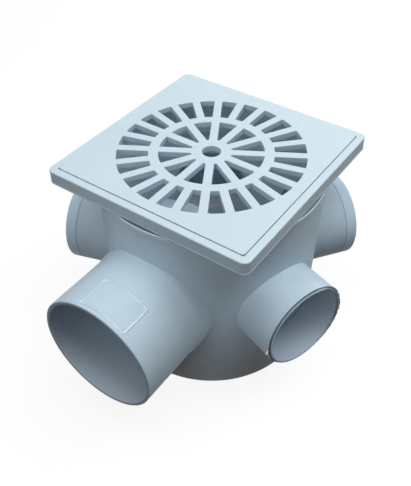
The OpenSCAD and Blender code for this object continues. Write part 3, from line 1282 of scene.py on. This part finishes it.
def outward(lean: float, turn: float) -> Vector:
    """Unit vector that leans from straight up, turned round from the outlet, in degrees."""
    lean, turn = math.radians(lean), math.radians(turn)
    level = math.sin(lean)
    return Vector((level * math.sin(turn), -level * math.cos(turn), math.cos(lean)))


def stand(piece: bpy.types.Object, aim: Vector, away: Vector, roll: float = 0.0) -> None:
    """Stands a light or a camera off from a point and turns it to look back there.

    Args:
        piece: what is placed.
        aim: the point that it looks at.
        away: way and distance from that point to the piece.
        roll: turn about the line of sight, in degrees.
    """
    turned = away.to_track_quat("Z", "Y").to_matrix().to_4x4()
    rolled = turned @ Matrix.Rotation(math.radians(roll), 4, "Z")
    piece.matrix_world = Matrix.Translation(aim + away) @ rolled


@dataclass(frozen=True)
class Softbox:
    """Square soft light that looks at the part from a distance."""

    name: str
    lean: float
    turn: float
    power: float
    side: float = 1.0
    distance: float = 1.6

    def hang(self, aim: Vector) -> None:
        """Hangs the light.

        Args:
            aim: the point that it looks at.
        """
        lamp = bpy.data.lights.new(self.name, "AREA")
        lamp.shape = "SQUARE"
        lamp.size = self.side
        lamp.energy = self.power
        stand(link(self.name, lamp), aim, outward(self.lean, self.turn) * self.distance)


@dataclass
class Studio:
    """Pale floor, soft light from above, white surround and the camera."""

    softboxes: tuple[Softbox, ...] = (
        Softbox("top_right", 18.0, 90.0, 8.9),
        Softbox("top_left", 18.0, -45.0, 6.9),
        Softbox("right", 35.0, 125.0, 8.4),
        Softbox("front", 60.0, 2.0, 5.6),
        Softbox("rear", 72.0, 200.0, 9.0),
    )
    fill: float = 0.02
    sky: Colour = (0.86, 0.93, 1.0)
    white: Colour = (1.0, 1.0, 1.0)
    floor_colour: Colour = (0.92, 0.92, 0.92)
    bounce_colour: Colour = (0.10, 0.075, 0.065)
    floor_glow: float = 0.84
    floor_half: float = 6.0
    azimuth: float = 35.50
    elevation: float = 43.23
    distance: float = 0.6245
    roll: float = -0.54
    field_of_view: float = 41.0
    aim: Point = (-0.0047, -0.0034, 0.0929)

    def seen(self, graph: Graph) -> Value:
        """1 for what the camera, a mirror or a pane shows, and 0 for light on the part."""
        total: Value | float = 0.0
        for output in ("Is Camera Ray", "Is Glossy Ray", "Is Transmission Ray"):
            total = graph.node("LightPath", output=output) + total
        return total.clamped()

    def floor(self) -> None:
        """Lays the floor."""
        skin = Skin()
        steps = [self.floor_half * (i / 8 - 1) for i in range(17)]
        skin.sheet([Vector((x, y, 0.0)) for x in steps] for y in steps)
        piece = link("studio_floor", skin.mesh("studio_floor"))
        material = bpy.data.materials.new("pale_floor")
        material.use_nodes = True
        graph = Graph(material.node_tree)
        seen = self.seen(graph)
        lit = graph.node("BsdfDiffuse", None, {"Color": self.floor_colour})
        glow = graph.node("Emission", None, {"Color": self.white, "Strength": 1.05})
        shown = graph.node("MixShader", None, {0: self.floor_glow, 1: lit, 2: glow})
        dim = graph.node("BsdfDiffuse", None, {"Color": self.bounce_colour})
        both = graph.node("MixShader", None, {0: seen, 1: dim, 2: shown})
        graph.node("OutputMaterial", None, {"Surface": both})
        piece.data.materials.append(material)

    def light(self) -> None:
        """Hangs the lights and sets the surround."""
        for softbox in self.softboxes:
            softbox.hang(Vector(self.aim))
        world = bpy.data.worlds.new("surround")
        world.use_nodes = True
        bpy.context.scene.world = world
        graph = Graph(world.node_tree)
        dim = graph.node("Background", None, {"Color": self.sky, "Strength": self.fill})
        white = graph.node("Background", None, {"Color": self.white, "Strength": 1.0})
        both = graph.node("MixShader", None, {0: self.seen(graph), 1: dim, 2: white})
        graph.node("OutputWorld", None, {"Surface": both})

    def camera(self) -> None:
        """Sets the camera."""
        lens = bpy.data.cameras.new("camera")
        lens.sensor_fit = "VERTICAL"
        lens.angle = math.radians(self.field_of_view)
        lens.clip_start = 0.01
        piece = link("camera", lens)
        away = outward(90.0 - self.elevation, self.azimuth) * self.distance
        stand(piece, Vector(self.aim), away, self.roll)
        bpy.context.scene.camera = piece

    def build(self) -> None:
        """Sets up the whole studio."""
        self.floor()
        self.light()
        self.camera()
        bpy.context.scene.view_settings.view_transform = "Standard"
        LOG.info("studio: floor, light and camera set")


def main() -> None:
    """Builds the trap's pieces, dresses its solids and sets up the studio."""
    logging.basicConfig(level=logging.INFO, format="%(name)s: %(message)s")
    capped = (Port.LEFT, Port.REAR_LEFT, Port.REAR_RIGHT)
    body_look = {"colour": (0.560, 0.702, 0.805), "shade": (0.486, 0.620, 0.727),
                 "roughness": 0.50}
    cover_look = {"colour": (0.597, 0.728, 0.802), "shade": (0.558, 0.688, 0.765), "dust": 0.2}
    cap_look = {"colour": (0.585, 0.750, 0.875), "shade": (0.525, 0.685, 0.810)}
    body = BodyPlastic("body_pvc", **body_look)
    # Painted light: the hood is paler than the body so that its top reads lit through the grate.
    hood_painted_light = MouldedPlastic("hood_pvc", (0.750, 0.860, 0.965), (0.690, 0.800, 0.915), dust=0.3)
    cement = MouldedPlastic("cement", (0.34, 0.48, 0.62), (0.26, 0.39, 0.54), roughness=0.3)
    CoverFrame(FramePlastic("frame_pvc", **cover_look)).build()
    Grate(GratePlastic("grate_pvc", **cover_look)).build()
    for port in Port:
        PortFillet(port, body, OUTLET_ROOT_R if port is Port.OUTLET else STUB_R).build()
    SawnRim(SawnPlastic("sawn_pvc", **body_look)).build()
    for port in reversed(capped):
        SealBead(port, cement).build()
    MarkingPad(PadPlastic("pad_pvc", **body_look)).build()
    solids: dict[str, MouldedPlastic] = {"trap_body": body, "trap_hood": hood_painted_light}
    for port in capped:
        node = "cap_" + port.name.lower()
        solids[node] = CapPlastic(node + "_pvc", **cap_look, port=port)
    CarriedSolids(solids).dress()
    Studio().build()


if __name__ == "__main__":
    main()
